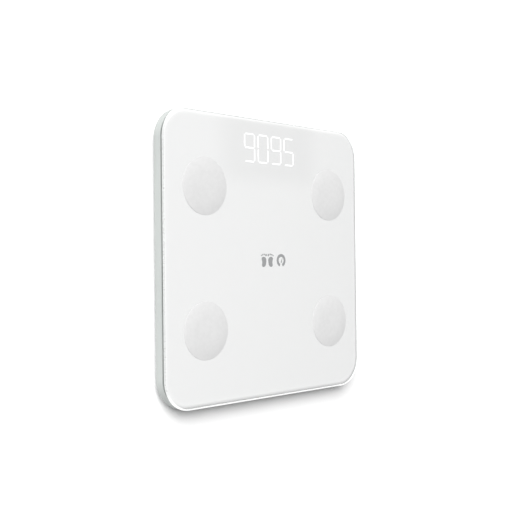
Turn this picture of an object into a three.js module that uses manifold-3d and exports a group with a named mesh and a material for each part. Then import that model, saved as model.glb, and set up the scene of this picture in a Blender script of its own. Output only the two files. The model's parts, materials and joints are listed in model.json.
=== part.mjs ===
// A glass-topped digital bathroom scale, lying as it is used.
// Millimetres. +Z is up through the glass, +Y points from the heels to the display, +X is the user's right.
// The origin is on the floor, under the centre of the platform.
import * as THREE from "three";
import { mergeVertices } from "three/addons/utils/BufferGeometryUtils.js";
import Module from "manifold-3d";

// ---------------------------------------------------------------- driving sizes

// Platform
const WIDTH = 280; // along X
const LENGTH = 280; // along Y
const CORNER_RADIUS = 30;
const GLASS_THICKNESS = 4;
const GLASS_BEVEL = 1.5; // ground edge, the same above and below
const PRINT_INSET = 1.8; // the print stops just inside the ground edge of the glass
const PRINT_THICKNESS = 0.2;

// Electrodes
const ELECTRODE_RADIUS = 27.5;
const ELECTRODE_THICKNESS = 0.4;
const ELECTRODE_EDGE_X = 50.5; // from the platform's side to a disc's centre
const ELECTRODE_EDGE_Y = 72; // from the platform's end to a disc's centre
const STUD_RADIUS = 1.6;
const STUD_LENGTH = 6.5; // below the top of the glass

// Base tray
const TRAY_CLEARANCE = 4.5; // from the floor to the underside
const TRAY_INSET = 0.6; // from the edge of the glass
const TRAY_WALL = 2.2;
const TRAY_FLOOR = 2;
const TRAY_FILLET = 6; // outside, along the lower edge
const FLANGE_WIDTH = 4; // inwards from the inner face of the wall
const FLANGE_THICKNESS = 1.7;
const SKIN = 0.5; // how deep ribs, posts and bosses root in the floor and the wall
const RIB_THICKNESS = 1.4;
const RIB_HEIGHT = 3;
const PILLAR_RADIUS = 3.2;

// Bonding tape between tray and glass
const TAPE_THICKNESS = 0.3;
const TAPE_INSET = 2.6; // from the edge of the glass
const TAPE_WIDTH = 3.1;

// Feet and load cells
const FOOT_MARGIN = 14; // from each edge of the platform to the side of a foot's carrier
const PAD_RADIUS = 17;
const PAD_THICKNESS = 1.5;
const CUP_RADIUS = 21.5;
const CUP_HEIGHT = 6.5;
const CUP_WALL = 2;
const POST_RADIUS = 4;
const CELL_CORNER = 5;
const CELL_CLEARANCE = 1.3; // from the plate's corners to the carrier
const CELL_THICKNESS = 1.2;
const CELL_SLOT = 2;
const CELL_TONGUE = 12;
const CELL_ROOM = 2.2; // above the plate, for the tongue and the cable
const CARRIER_WALL = 2.7;
const CARRIER_ROOF = 1.6;
const CELL_BOSS_SIZE = 5; // the carrier's four bosses that hold the plate's corners
const EAR_REACH = 4; // from the side of the carrier to the screw
const EAR_SHIFT = 8; // of the end ear, away from the electrode's stud
const EAR_WIDTH = 9;
const EAR_THICKNESS = 2;

// Electronics
const BOARD_CLEARANCE = 3.5; // from the carriers' ears, at both sides
const BOARD_LENGTH = 50;
const BOARD_THICKNESS = 1.6;
const BOARD_EDGE = 35; // from the platform's display end to the board's centre
const BOARD_HOLE_INSET = 4;
const DISPLAY_X = 1;
const DISPLAY_EDGE = 30.5; // from the platform's display end to the digits' centre
const DIGIT_HEIGHT = 28.5;
const DIGIT_WIDTH = 15;
const DIGIT_PITCH = 19;
const DIGIT_COUNT = 4;
const SEGMENT_WIDTH = 2.6;
const REFLECTOR_HEIGHT = 4.1;
const REFLECTOR_MARGIN = 2.5; // around the digits
const DIFFUSER_THICKNESS = 0.5;
const SWITCH_SIZE = 6;
const SWITCH_HEIGHT = 2.8;
const BUTTON_RADIUS = 4;
const BUTTON_INSET = 6; // from the board's heel edge
const BUTTON_TRAVEL = 0.5;
const BUTTON_PROUD = 0.3;
const BUTTON_FLANGE = 1.6;
const PLUNGER_RADIUS = 1.7;

// Batteries and their door
const BATTERY_RADIUS = 5.2;
const BATTERY_LENGTH = 44.5;
const BATTERY_COUNT = 3;
const BATTERY_GAP = 0.6; // side by side
const SPRING_LENGTH = 4.7;
const CONTACT_THICKNESS = 0.4;
const BAY_Y = 35;
const BAY_WALL = 1.2;
const BAY_ROOF = 0.7;
const DOOR_THICKNESS = 1.4;
const DOOR_LEDGE = 1.8; // how far the door runs under the bay's walls
const HINGE_PIN_RADIUS = 0.5;
const HINGE_INSET = 1; // from the door's edge and from its outer face
const HINGE_SWEEP = 1.7; // groove around the pins, for the door's edge to turn in
const LATCH_WIDTH = 12;
const LATCH_HEIGHT = 2.6;
const TAB_WIDTH = 3; // of the contacts' solder tabs

// Screws
const SCREW_RADIUS = 1.05;
const SCREW_HEAD_RADIUS = 2.4;
const SCREW_HEAD_HEIGHT = 1.5;

// Wires
const CELL_CABLE_RADIUS = 0.8;
const LEAD_RADIUS = 0.5;

// Clearances
const GAP = 0.3; // between pieces that face each other
const SLIDE_GAP = 0.4; // around what moves
const FOOT_GAP = 1.5; // around the cup, in the tray's floor
const CONTACT_GAP = 0.1; // between a contact and the wall behind it
const CEILING_GAP = 0.2; // between the batteries and the roof of their bay

// ---------------------------------------------------------------- heights

// The batteries set the depth of the tray.
const TRAY_BOTTOM = TRAY_CLEARANCE;
const FLOOR_TOP = TRAY_BOTTOM + TRAY_FLOOR;
const DOOR_TOP = TRAY_BOTTOM + DOOR_THICKNESS;
const BATTERY_Z = DOOR_TOP + GAP + BATTERY_RADIUS;
const BAY_CEILING = BATTERY_Z + BATTERY_RADIUS + CEILING_GAP;
const TRAY_TOP = BAY_CEILING + BAY_ROOF;
const GLASS_BOTTOM = TRAY_TOP + TAPE_THICKNESS + PRINT_THICKNESS;
const GLASS_TOP = GLASS_BOTTOM + GLASS_THICKNESS;
const PRINT_BOTTOM = GLASS_BOTTOM - PRINT_THICKNESS;
const CUP_TOP = PAD_THICKNESS + CUP_HEIGHT;
const CELL_BOTTOM = CUP_TOP + 1;
const CELL_TOP = CELL_BOTTOM + CELL_THICKNESS;
const CARRIER_CEILING = CELL_TOP + CELL_ROOM;
const CARRIER_TOP = CARRIER_CEILING + CARRIER_ROOF;
const EAR_BOTTOM = FLOOR_TOP + RIB_HEIGHT;
const EAR_TOP = EAR_BOTTOM + EAR_THICKNESS;
const DIFFUSER_TOP = PRINT_BOTTOM - 0.5;
const REFLECTOR_TOP = DIFFUSER_TOP - DIFFUSER_THICKNESS;
const BOARD_TOP = REFLECTOR_TOP - REFLECTOR_HEIGHT;
const BOARD_BOTTOM = BOARD_TOP - BOARD_THICKNESS;
const SWITCH_BOTTOM = BOARD_BOTTOM - SWITCH_HEIGHT;
const BUTTON_FLANGE_BOTTOM = FLOOR_TOP + 0.1;
const BUTTON_FLANGE_TOP = BUTTON_FLANGE_BOTTOM + 0.8;
const CELL_CABLE_START_Z = CELL_TOP + GAP + CELL_CABLE_RADIUS;
const CELL_CABLE_Z = CELL_CABLE_START_Z + 0.5;
// The leads cross over the load cells' cables and over the board's edge.
const OVER_CABLES = CELL_CABLE_Z + CELL_CABLE_RADIUS + LEAD_RADIUS + 1;
const LEAD_Z = Math.max(OVER_CABLES, BOARD_TOP + LEAD_RADIUS + 2 * GAP);
const SOLDER_GAP = GAP; // between a wire's end and the board

// ---------------------------------------------------------------- places

const TRAY_HEIGHT = TRAY_TOP - TRAY_BOTTOM;
const CARRIER_SIZE = 2 * (CUP_RADIUS + FOOT_GAP + GAP + CARRIER_WALL);
const FOOT_EDGE = CARRIER_SIZE / 2 + FOOT_MARGIN;
const EAR_OFFSET = CARRIER_SIZE / 2 + EAR_REACH;
const CELL_REACH = CUP_RADIUS + FOOT_GAP + GAP - CELL_CLEARANCE;
const CELL_SIZE = 2 * ((CELL_REACH - CELL_CORNER) / Math.SQRT2 + CELL_CORNER);
const BOARD_WIDTH = WIDTH - 2 * (FOOT_EDGE + EAR_OFFSET + EAR_WIDTH / 2 + BOARD_CLEARANCE);
const BATTERY_PITCH = 2 * BATTERY_RADIUS + BATTERY_GAP;
const BAY_LENGTH = BATTERY_LENGTH + SPRING_LENGTH + 2 * CONTACT_THICKNESS;
const BAY_WIDTH = BATTERY_COUNT * BATTERY_PITCH + SLIDE_GAP;
const DOOR_LENGTH = BAY_LENGTH + 2 * (BAY_WALL + DOOR_LEDGE); // along X
const DOOR_WIDTH = BAY_WIDTH + 2 * (BAY_WALL + DOOR_LEDGE); // along Y
const DOOR_FRONT = BAY_Y - DOOR_WIDTH / 2;
const DOOR_BACK = BAY_Y + DOOR_WIDTH / 2;
const HINGE_Y = DOOR_FRONT + HINGE_INSET;
const HINGE_Z = TRAY_BOTTOM + HINGE_INSET;
const LATCH_Y = DOOR_BACK - 1.4; // inner face of the latch's arm
const LATCH_TOP = DOOR_TOP + LATCH_HEIGHT;
const TAB_BOTTOM = BATTERY_Z + 1;
const TAB_TOP = TAB_BOTTOM + TAB_WIDTH;
const TERMINALS = [
  { side: -1, battery: 0 },
  { side: 1, battery: BATTERY_COUNT - 1 },
];
const BOARD_Y = LENGTH / 2 - BOARD_EDGE;
const BOARD_HEEL_EDGE = BOARD_Y - BOARD_LENGTH / 2;
const DISPLAY_Y = LENGTH / 2 - DISPLAY_EDGE;
const BUTTON_Y = BOARD_HEEL_EDGE + BUTTON_INSET;
const CORNERS = [
  { name: "toe_left", sx: -1, sy: 1 },
  { name: "toe_right", sx: 1, sy: 1 },
  { name: "heel_left", sx: -1, sy: -1 },
  { name: "heel_right", sx: 1, sy: -1 },
];
for (const corner of CORNERS) {
  corner.footX = corner.sx * (WIDTH / 2 - FOOT_EDGE);
  corner.footY = corner.sy * (LENGTH / 2 - FOOT_EDGE);
  corner.electrodeX = corner.sx * (WIDTH / 2 - ELECTRODE_EDGE_X);
  corner.electrodeY = corner.sy * (LENGTH / 2 - ELECTRODE_EDGE_Y);
  // Two ears reach inwards from each carrier: one along X, one along Y and clear of the electrode's stud.
  corner.ears = [
    [corner.footX - corner.sx * EAR_OFFSET, corner.footY],
    [corner.footX + corner.sx * EAR_SHIFT, corner.footY - corner.sy * EAR_OFFSET],
  ];
}
const BOARD_SCREWS = [-1, 1].map((side) => [
  side * (BOARD_WIDTH / 2 - BOARD_HOLE_INSET),
  BOARD_Y + BOARD_LENGTH / 2 - BOARD_HOLE_INSET,
]);
const BOARD_RESTS = [-1, 1].map((side) => [
  side * (BOARD_WIDTH / 2 - 14),
  BOARD_HEEL_EDGE + 5,
]);

// ---------------------------------------------------------------- solids

const wasm = await Module();
wasm.setup();

function solidFrom(geometry) {
  const bare = geometry.index ? geometry.toNonIndexed() : geometry.clone();
  bare.deleteAttribute("normal");
  bare.deleteAttribute("uv");
  const merged = mergeVertices(bare, 1e-4);
  return new wasm.Manifold(
    new wasm.Mesh({
      numProp: 3,
      vertProperties: merged.attributes.position.array,
      triVerts: new Uint32Array(merged.index.array),
    }),
  );
}

function geometryFrom(solid) {
  const mesh = solid.getMesh();
  const geometry = new THREE.BufferGeometry();
  geometry.setAttribute("position", new THREE.BufferAttribute(mesh.vertProperties, mesh.numProp));
  geometry.setIndex(new THREE.BufferAttribute(mesh.triVerts, 1));
  const flat = geometry.toNonIndexed();
  flat.computeVertexNormals();
  return flat;
}

function joined(...solids) {
  return solids.reduce((sum, next) => sum.add(next));
}

function block(x0, x1, y0, y1, z0, z1) {
  const geometry = new THREE.BoxGeometry(x1 - x0, y1 - y0, z1 - z0);
  geometry.translate((x0 + x1) / 2, (y0 + y1) / 2, (z0 + z1) / 2);
  return solidFrom(geometry);
}

// A block given by its centre and its size in X and Y.
function pad(x, y, sizeX, sizeY, z0, z1) {
  return block(x - sizeX / 2, x + sizeX / 2, y - sizeY / 2, y + sizeY / 2, z0, z1);
}

function post(x, y, radius, z0, z1, sides = 24) {
  const geometry = new THREE.CylinderGeometry(radius, radius, z1 - z0, sides);
  geometry.rotateX(Math.PI / 2);
  geometry.translate(x, y, (z0 + z1) / 2);
  return solidFrom(geometry);
}

function rodAlongX(x0, x1, y, z, radius, sides = 16) {
  const geometry = new THREE.CylinderGeometry(radius, radius, x1 - x0, sides);
  geometry.rotateZ(Math.PI / 2);
  geometry.translate((x0 + x1) / 2, y, z);
  return solidFrom(geometry);
}

// A solid of revolution about the vertical line through (x, y), from [radius, z] points on one side.
function turned(x, y, profile, sides) {
  const points = profile.map(([radius, z]) => new THREE.Vector2(radius, z));
  const geometry = new THREE.LatheGeometry(points, sides);
  geometry.rotateX(Math.PI / 2);
  geometry.translate(x, y, 0);
  return solidFrom(geometry);
}

function roundedRectangle(width, length, radius) {
  const x = width / 2;
  const y = length / 2;
  const shape = new THREE.Shape();
  shape.absarc(x - radius, y - radius, radius, 0, Math.PI / 2);
  shape.absarc(radius - x, y - radius, radius, Math.PI / 2, Math.PI);
  shape.absarc(radius - x, radius - y, radius, Math.PI, 1.5 * Math.PI);
  shape.absarc(x - radius, radius - y, radius, 1.5 * Math.PI, 2 * Math.PI);
  shape.closePath();
  return shape;
}

// The platform's outline, moved inwards by a distance.
function outline(inset) {
  return roundedRectangle(WIDTH - 2 * inset, LENGTH - 2 * inset, CORNER_RADIUS - inset);
}

// A shape raised from z0 to z1. Both ends are eased by edge, in steps: one step is a flat chamfer.
function slab(shape, z0, z1, edge = 0, steps = 1, curveSegments = 12) {
  const geometry = new THREE.ExtrudeGeometry(shape, {
    depth: z1 - z0 - 2 * edge,
    curveSegments,
    bevelEnabled: edge > 0,
    bevelThickness: edge,
    bevelSize: edge,
    bevelOffset: -edge,
    bevelSegments: steps,
  });
  geometry.translate(0, 0, z0 + edge);
  return solidFrom(geometry);
}

// A round wire through a list of points, on one smooth curve.
function wire(points, radius, steps, sides = 8) {
  const path = new THREE.CatmullRomCurve3(points.map((p) => new THREE.Vector3(...p)));
  const section = new THREE.Shape();
  for (let i = 0; i < sides; i += 1) {
    const angle = (2 * Math.PI * i) / sides;
    const place = [radius * Math.cos(angle), radius * Math.sin(angle)];
    if (i === 0) section.moveTo(...place);
    else section.lineTo(...place);
  }
  section.closePath();
  return solidFrom(new THREE.ExtrudeGeometry(section, { steps, extrudePath: path, curveSegments: 1 }));
}

// ---------------------------------------------------------------- platform

const studHoleRadius = STUD_RADIUS + GAP;

function withStudHoles(solid) {
  return CORNERS.reduce(
    (left, { electrodeX, electrodeY }) =>
      left.subtract(post(electrodeX, electrodeY, studHoleRadius, TRAY_TOP - 1, GLASS_TOP + 1, 16)),
    solid,
  );
}

function glassPlatform() {
  return withStudHoles(slab(outline(0), GLASS_BOTTOM, GLASS_TOP, GLASS_BEVEL));
}

function whitePrint() {
  return withStudHoles(slab(outline(PRINT_INSET), PRINT_BOTTOM, GLASS_BOTTOM, 0, 1, 6));
}

function bondingTape() {
  const outer = slab(outline(TAPE_INSET), TRAY_TOP, PRINT_BOTTOM, 0, 1, 6);
  const inner = slab(outline(TAPE_INSET + TAPE_WIDTH), TRAY_TOP - 1, GLASS_BOTTOM + 1, 0, 1, 6);
  return outer.subtract(inner);
}

// A thin disc on the glass, with a stud that carries its signal down through the plate.
function electrode({ electrodeX, electrodeY }) {
  const top = GLASS_TOP + ELECTRODE_THICKNESS;
  const ease = ELECTRODE_THICKNESS / 2;
  const profile = [
    [0, GLASS_TOP - STUD_LENGTH],
    [STUD_RADIUS, GLASS_TOP - STUD_LENGTH],
    [STUD_RADIUS, GLASS_TOP],
    [ELECTRODE_RADIUS, GLASS_TOP],
    [ELECTRODE_RADIUS, top - ease],
    [ELECTRODE_RADIUS - ease, top],
    [0, top],
  ];
  return turned(electrodeX, electrodeY, profile, 48);
}

// ---------------------------------------------------------------- base tray

function trayShell() {
  const inner = TRAY_INSET + TRAY_WALL;
  const round = Math.min(FLANGE_WIDTH, (TRAY_HEIGHT - TRAY_FLOOR - FLANGE_THICKNESS) / 2 - 0.2);
  const above = TRAY_TOP + 2 * TRAY_FILLET;
  const outside = slab(outline(TRAY_INSET), TRAY_BOTTOM, above, TRAY_FILLET, 4);
  const cavity = slab(outline(inner), FLOOR_TOP, TRAY_TOP - FLANGE_THICKNESS, round, 2, 5);
  const mouthBottom = TRAY_TOP - FLANGE_THICKNESS - round;
  const mouth = slab(outline(inner + FLANGE_WIDTH), mouthBottom, TRAY_TOP + 1, 0, 1, 5);
  return outside
    .subtract(block(-WIDTH, WIDTH, -LENGTH, LENGTH, TRAY_TOP, above + 1))
    .subtract(cavity)
    .subtract(mouth);
}

// Low ribs across the floor, cut to the inside of the shell.
function trayRibs() {
  const top = FLOOR_TOP + RIB_HEIGHT;
  const half = RIB_THICKNESS / 2;
  const farX = WIDTH / 2;
  const farY = LENGTH / 2;
  const ribX = BOARD_WIDTH / 2 - 2;
  const ribs = [block(-half, half, -farY, DOOR_FRONT - 3, TRAY_BOTTOM, top)];
  for (const x of [-ribX, ribX]) ribs.push(block(x - half, x + half, -farY, farY, TRAY_BOTTOM, top));
  for (const y of [-60, 0, DOOR_BACK + 8]) {
    ribs.push(block(-farX, farX, y - half, y + half, TRAY_BOTTOM, top));
  }
  const inside = TRAY_INSET + TRAY_WALL - SKIN;
  const core = slab(outline(inside), FLOOR_TOP - SKIN, TRAY_TOP, FLANGE_WIDTH, 2, 5);
  return joined(...ribs).intersect(core);
}

// Posts that back the middle of the glass.
function trayPillars() {
  const sideX = WIDTH / 2 - 28;
  const places = [
    [0, -60],
    [0, 32 - LENGTH / 2],
    [0, (DOOR_BACK + BOARD_HEEL_EDGE) / 2 + 2],
  ];
  for (const side of [-1, 1]) {
    places.push([side * 40, -28], [side * 40, -92], [side * sideX, -24], [side * sideX, 28]);
  }
  const bottom = FLOOR_TOP - SKIN;
  return joined(...places.map(([x, y]) => post(x, y, PILLAR_RADIUS, bottom, TRAY_TOP - 0.2, 12)));
}

function trayBosses() {
  const bosses = CORNERS.flatMap(({ ears }) =>
    ears.map(([x, y]) => post(x, y, PILLAR_RADIUS, FLOOR_TOP - SKIN, EAR_BOTTOM, 12)),
  );
  for (const [x, y] of [...BOARD_SCREWS, ...BOARD_RESTS]) {
    bosses.push(post(x, y, PILLAR_RADIUS, FLOOR_TOP - SKIN, BOARD_BOTTOM, 12));
  }
  return joined(...bosses);
}

function screwHoles() {
  const radius = SCREW_RADIUS + GAP;
  const places = [...CORNERS.flatMap(({ ears }) => ears), ...BOARD_SCREWS];
  return joined(...places.map(([x, y]) => post(x, y, radius, TRAY_BOTTOM + 1, TRAY_TOP, 8)));
}

// The walls and roof of the battery bay, and the thicker floor around its mouth.
function bayBlock() {
  const outX = BAY_LENGTH / 2 + BAY_WALL;
  const outY = BAY_WIDTH / 2 + BAY_WALL;
  const padX = DOOR_LENGTH / 2 + 4;
  const padY = DOOR_WIDTH / 2 + 3;
  return joined(
    block(-outX, outX, BAY_Y - outY, BAY_Y + outY, TRAY_BOTTOM + 1, TRAY_TOP),
    block(-padX, padX, BAY_Y - padY, BAY_Y + padY, TRAY_BOTTOM + 1, FLOOR_TOP + 1.5),
  );
}

// Everything that the bay and its door need cut away: the bay, the door's seat, the hinge's groove and
// pin holes, the latch's pocket, a finger dimple, and a slot in each end wall for a contact's tab.
function bayCuts() {
  const seatX = DOOR_LENGTH / 2 + SLIDE_GAP;
  const below = TRAY_BOTTOM - 1;
  const cuts = [
    pad(0, BAY_Y, BAY_LENGTH, BAY_WIDTH, below, BAY_CEILING),
    block(-seatX, seatX, HINGE_Y - HINGE_SWEEP, DOOR_BACK + SLIDE_GAP + 0.2, below, DOOR_TOP + 0.2),
    block(-seatX, seatX, HINGE_Y - HINGE_SWEEP, HINGE_Y + HINGE_SWEEP, below, HINGE_Z + HINGE_SWEEP),
    rodAlongX(-seatX - 2.5, seatX + 2.5, HINGE_Y, HINGE_Z, HINGE_PIN_RADIUS + 0.2),
    block(-LATCH_WIDTH / 2 - 1, LATCH_WIDTH / 2 + 1, LATCH_Y - 1, DOOR_BACK + 0.6, below, LATCH_TOP + 0.6),
    post(0, DOOR_BACK + 2, 8, below, TRAY_BOTTOM + 1.2, 32),
  ];
  for (const { side, battery } of TERMINALS) {
    const y = batteryY(battery);
    const x = (side * (BAY_LENGTH + BAY_WALL)) / 2;
    cuts.push(pad(x, y, BAY_WALL + 1, TAB_WIDTH + 2 * GAP, TAB_BOTTOM - GAP, TAB_TOP + GAP));
  }
  return joined(...cuts);
}

function baseTray() {
  const body = joined(trayShell(), trayRibs(), trayPillars(), trayBosses(), bayBlock());
  const footHoles = CORNERS.map(({ footX, footY }) =>
    post(footX, footY, CUP_RADIUS + FOOT_GAP, TRAY_BOTTOM - 1, EAR_BOTTOM + 1, 32),
  );
  const buttonHole = post(0, BUTTON_Y, BUTTON_RADIUS + SLIDE_GAP / 2, TRAY_BOTTOM - 1, FLOOR_TOP + 1);
  return body.subtract(joined(...footHoles, buttonHole, screwHoles(), bayCuts()));
}

// ---------------------------------------------------------------- feet and load cells

function footPad({ footX, footY }) {
  const ease = 0.4;
  const profile = [
    [0, 0],
    [PAD_RADIUS - ease, 0],
    [PAD_RADIUS, ease],
    [PAD_RADIUS, PAD_THICKNESS],
    [0, PAD_THICKNESS],
  ];
  return turned(footX, footY, profile, 32);
}

function footCup({ footX, footY }) {
  const floor = PAD_THICKNESS + CUP_WALL;
  const inner = CUP_RADIUS - CUP_WALL;
  const profile = [
    [0, PAD_THICKNESS],
    [CUP_RADIUS - 1.2, PAD_THICKNESS],
    [CUP_RADIUS, PAD_THICKNESS + 1.2],
    [CUP_RADIUS, CUP_TOP],
    [inner, CUP_TOP],
    [inner, floor],
    [POST_RADIUS, floor],
    [POST_RADIUS, CELL_BOTTOM],
    [0, CELL_BOTTOM],
  ];
  return turned(footX, footY, profile, 32);
}

// A stamped steel plate. A slot on three sides frees the middle tongue, which the foot's post pushes on.
function loadCell({ footX, footY }) {
  const plate = slab(roundedRectangle(CELL_SIZE, CELL_SIZE, CELL_CORNER), CELL_BOTTOM, CELL_TOP, 0, 1, 3);
  const halfTongue = CELL_TONGUE / 2;
  const reach = CELL_SIZE / 2 - 5;
  const low = CELL_BOTTOM - 1;
  const high = CELL_TOP + 1;
  const slots = joined(
    block(-halfTongue - CELL_SLOT, -halfTongue, -reach, reach, low, high),
    block(halfTongue, halfTongue + CELL_SLOT, -reach, reach, low, high),
    block(-halfTongue - CELL_SLOT, halfTongue + CELL_SLOT, reach - CELL_SLOT, reach, low, high),
  );
  return plate.subtract(slots).translate([footX, footY, 0]);
}

// The plastic seat over a load cell. Four bosses under its roof hold the cell's frame, and the tongue
// has room to bend between them. Its cable leaves by a notch in the wall.
function loadCellCarrier({ footX, footY, sx, sy, ears }) {
  const half = CARRIER_SIZE / 2;
  const hollow = CUP_RADIUS + FOOT_GAP + GAP;
  const shell = slab(roundedRectangle(CARRIER_SIZE, CARRIER_SIZE, 6), FLOOR_TOP, CARRIER_TOP, 0, 1, 2);
  let body = shell.subtract(post(0, 0, hollow, FLOOR_TOP - 1, CARRIER_CEILING, 32));
  const boss = (CELL_SIZE - CELL_BOSS_SIZE - 1) / 2;
  for (const x of [-boss, boss]) {
    for (const y of [-boss, boss]) {
      body = body.add(pad(x, y, CELL_BOSS_SIZE, CELL_BOSS_SIZE, CELL_TOP, CARRIER_CEILING + SKIN));
    }
  }
  body = body.translate([footX, footY, 0]);
  const [sideEar, endEar] = ears;
  const root = half - 1;
  const wide = EAR_WIDTH / 2;
  const ears3d = [
    [footX - sx * root, sideEar[0] - sx * wide, sideEar[1] - wide, sideEar[1] + wide],
    [endEar[0] - wide, endEar[0] + wide, footY - sy * root, endEar[1] - sy * wide],
  ];
  for (const [x0, x1, y0, y1] of ears3d) {
    const [low, high] = [Math.min(y0, y1), Math.max(y0, y1)];
    body = body.add(block(Math.min(x0, x1), Math.max(x0, x1), low, high, EAR_BOTTOM, EAR_TOP));
  }
  for (const [x, y] of ears) {
    body = body.subtract(post(x, y, SCREW_RADIUS + GAP, EAR_BOTTOM - 1, EAR_TOP + 1, 12));
  }
  const [start, , outside] = cellCableRoute({ footX, footY, sx, sy });
  const room = CELL_CABLE_RADIUS + 2 * GAP;
  const low = [0, 1].map((i) => Math.min(start[i], outside[i]) - room);
  const high = [0, 1].map((i) => Math.max(start[i], outside[i]) + room);
  return body.subtract(block(low[0], high[0], low[1], high[1], CELL_TOP + GAP / 2, CARRIER_CEILING));
}

// A pan-head screw with a cross recess: head on top, point down.
function screw(x, y, seat, depth) {
  const head = seat + SCREW_HEAD_HEIGHT;
  const profile = [
    [0, seat - depth],
    [SCREW_RADIUS, seat - depth + 1.2],
    [SCREW_RADIUS, seat],
    [SCREW_HEAD_RADIUS, seat],
    [SCREW_HEAD_RADIUS, head - 0.6],
    [SCREW_HEAD_RADIUS - 0.8, head],
    [0, head],
  ];
  const cross = joined(
    pad(x, y, 2.6, 0.6, head - 0.8, head + 1),
    pad(x, y, 0.6, 2.6, head - 0.8, head + 1),
  );
  return turned(x, y, profile, 12).subtract(cross);
}

// ---------------------------------------------------------------- electronics

function mainBoard() {
  let board = slab(roundedRectangle(BOARD_WIDTH, BOARD_LENGTH, 2), BOARD_BOTTOM, BOARD_TOP, 0, 1, 3);
  board = board.translate([0, BOARD_Y, 0]);
  for (const [x, y] of BOARD_SCREWS) {
    board = board.subtract(post(x, y, SCREW_RADIUS + GAP, BOARD_BOTTOM - 1, BOARD_TOP + 1, 12));
  }
  return board;
}

// One segment of a digit: a bar with pointed ends, centred on (x, y).
function segmentBar(x, y, length, upright) {
  const half = length / 2;
  const side = SEGMENT_WIDTH / 2;
  const corners = [
    [-half, 0],
    [side - half, -side],
    [half - side, -side],
    [half, 0],
    [half - side, side],
    [side - half, side],
  ];
  const points = corners.map(([a, b]) => (upright ? new THREE.Vector2(-b, a) : new THREE.Vector2(a, b)));
  return slab(new THREE.Shape(points), BOARD_TOP - 1, REFLECTOR_TOP + 1).translate([x, y, 0]);
}

function digitWindows(x) {
  const across = DIGIT_WIDTH - SEGMENT_WIDTH;
  const up = (DIGIT_HEIGHT - SEGMENT_WIDTH) / 2;
  const bars = [];
  for (const row of [-1, 0, 1]) bars.push(segmentBar(x, DISPLAY_Y + row * up, across - GAP, false));
  for (const row of [-0.5, 0.5]) {
    for (const side of [-0.5, 0.5]) {
      bars.push(segmentBar(x + side * across, DISPLAY_Y + row * up, up - GAP, true));
    }
  }
  return joined(...bars);
}

// The white block over the board's lamps, with a window for each segment of each digit.
function displayReflector() {
  const spanX = (DIGIT_COUNT - 1) * DIGIT_PITCH + DIGIT_WIDTH + 2 * REFLECTOR_MARGIN;
  const spanY = DIGIT_HEIGHT + 2 * REFLECTOR_MARGIN;
  let reflector = pad(DISPLAY_X, DISPLAY_Y, spanX, spanY, BOARD_TOP, REFLECTOR_TOP);
  for (let i = 0; i < DIGIT_COUNT; i += 1) {
    const x = DISPLAY_X + (i - (DIGIT_COUNT - 1) / 2) * DIGIT_PITCH;
    reflector = reflector.subtract(digitWindows(x));
  }
  return reflector;
}

function displayDiffuser() {
  const spanX = (DIGIT_COUNT - 1) * DIGIT_PITCH + DIGIT_WIDTH + 2 * REFLECTOR_MARGIN;
  const spanY = DIGIT_HEIGHT + 2 * REFLECTOR_MARGIN;
  const sheet = slab(roundedRectangle(spanX, spanY, 1.5), REFLECTOR_TOP, DIFFUSER_TOP, 0, 1, 3);
  return sheet.translate([DISPLAY_X, DISPLAY_Y, 0]);
}

function radioModule() {
  const x = 13.5 - BOARD_WIDTH / 2;
  const board = pad(x, BOARD_Y - 3, 14, 20, BOARD_TOP, BOARD_TOP + 0.8);
  return board.add(pad(x, BOARD_Y - 6, 12, 12, BOARD_TOP + 0.5, BOARD_TOP + 3));
}

function controllerChip() {
  const x = BOARD_WIDTH / 2 - 11;
  let chip = pad(x, BOARD_Y, 7, 7, BOARD_TOP + 0.2, BOARD_TOP + 1.6);
  for (let i = -1.5; i <= 1.5; i += 1) {
    chip = chip.add(pad(x, BOARD_Y + 1.5 * i, 9, 0.6, BOARD_TOP, BOARD_TOP + 0.5));
  }
  return chip;
}

function tactSwitch() {
  const body = pad(0, BUTTON_Y, SWITCH_SIZE, SWITCH_SIZE, SWITCH_BOTTOM, BOARD_BOTTOM);
  return body.subtract(post(0, BUTTON_Y, PLUNGER_RADIUS + GAP, SWITCH_BOTTOM - 1, BOARD_BOTTOM - 0.8, 20));
}

function switchPlunger() {
  const top = BOARD_BOTTOM - 0.8 - BUTTON_TRAVEL - 0.2;
  return post(0, BUTTON_Y, PLUNGER_RADIUS, BUTTON_FLANGE_TOP, top, 20);
}

// The underside button that changes the unit. Its flange keeps it in the tray.
function unitButton() {
  const bottom = TRAY_BOTTOM - BUTTON_PROUD;
  const radius = BUTTON_RADIUS - SLIDE_GAP / 2;
  const profile = [
    [0, bottom],
    [radius - 0.4, bottom],
    [radius, bottom + 0.4],
    [radius, BUTTON_FLANGE_BOTTOM],
    [radius + BUTTON_FLANGE, BUTTON_FLANGE_BOTTOM],
    [radius + BUTTON_FLANGE, BUTTON_FLANGE_TOP],
    [0, BUTTON_FLANGE_TOP],
  ];
  return turned(0, BUTTON_Y, profile, 24);
}

// ---------------------------------------------------------------- batteries

function batteryY(index) {
  return BAY_Y + ((BATTERY_COUNT - 1) / 2 - index) * BATTERY_PITCH;
}

// Even batteries have their positive end at -X, odd ones at +X.
function batteryFacing(index) {
  return index % 2 === 0 ? -1 : 1;
}

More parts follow.
